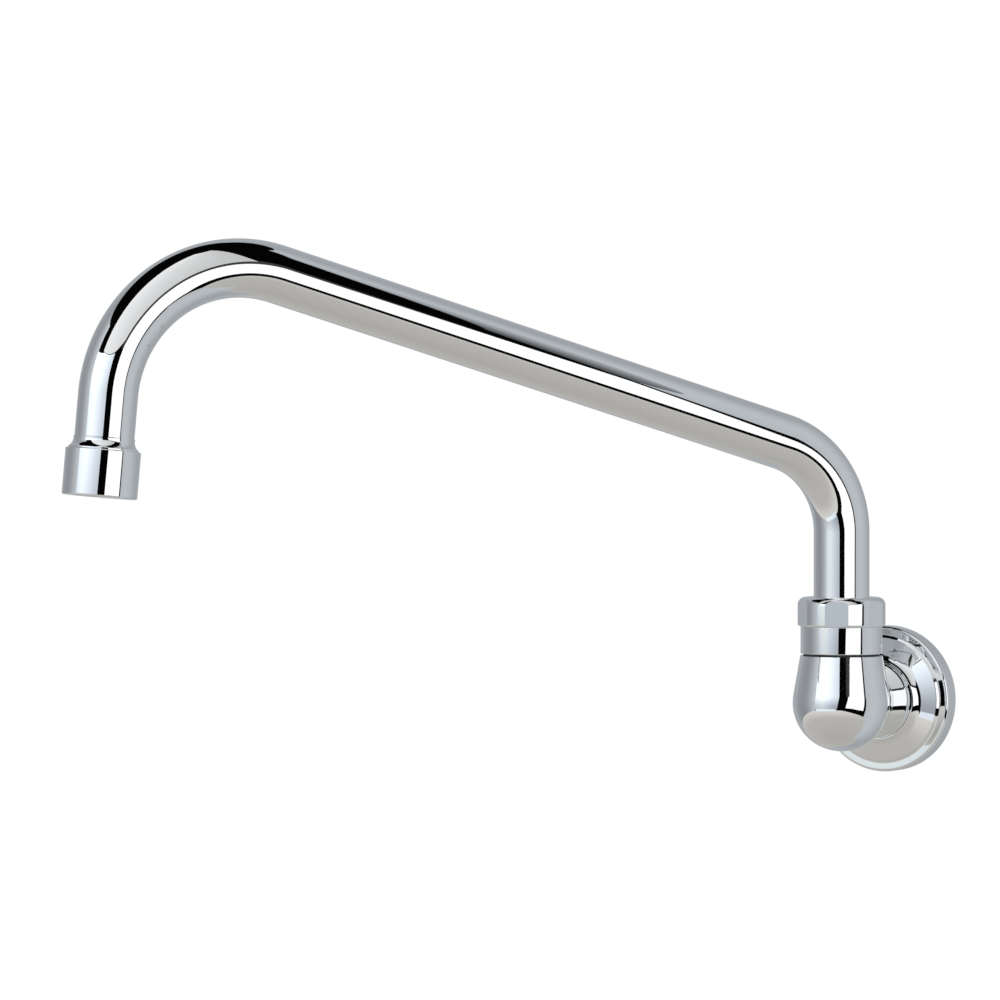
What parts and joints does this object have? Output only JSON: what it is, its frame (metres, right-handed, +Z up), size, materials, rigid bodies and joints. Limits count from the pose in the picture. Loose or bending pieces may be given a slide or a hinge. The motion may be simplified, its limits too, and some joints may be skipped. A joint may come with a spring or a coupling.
{
  "type": "commercial wall faucet",
  "caption": "Single-hole wall faucet without a handle: round wall flange, teardrop elbow, spout nut and a long rising swing spout with an aerator.",
  "frame": {"origin": "on the wall plane, on the axis of the supply nipple", "axes": "+Z up, +Y into the wall along the nipple; the faucet stands out towards -Y; the spout is drawn swung 34.5 degrees from -Y towards -X"},
  "size_m": [0.1892, 0.2914, 0.1801],
  "materials": {
    "polished_chrome": "polished",
    "brass": "machined",
    "seal_rubber": "matte",
    "acetal_plastic": "moulded",
    "fibre_gasket": "pressed fibre",
    "steel_mesh": "woven wire"
  },
  "bodies": {
    "root": {"wall_nipple": "brass", "elbow_body": "polished_chrome", "adapter_gasket": "fibre_gasket", "swivel_adapter": "polished_chrome", "spout_nut": "polished_chrome", "glide_washer": "acetal_plastic"},
    "flange": {"wall_flange": "polished_chrome", "flange_o_ring": "seal_rubber"},
    "spout": {"spout_tube": "polished_chrome", "swivel_spigot": "brass", "split_ring": "acetal_plastic", "lower_o_ring": "seal_rubber", "upper_o_ring": "seal_rubber", "outlet_ferrule": "polished_chrome", "aerator_housing": "polished_chrome", "aerator_washer": "seal_rubber", "aerator_cartridge": "acetal_plastic", "inlet_strainer": "acetal_plastic", "metering_disc": "acetal_plastic", "regulator_ring": "seal_rubber", "upper_screen": "steel_mesh", "lower_screen": "steel_mesh"}
  },
  "joints": [
    {"name": "spout_swivel", "type": "hinge", "parent": "root", "child": "spout", "pos_m": [0, -0.0375, 0.03], "axis": [0, 0, 1], "range_deg": [-55.5, 124.5]},
    {"name": "flange_slide", "type": "slide", "parent": "root", "child": "flange", "axis": [0, -1, 0], "range_m": [0, 0.01]}
  ]
}
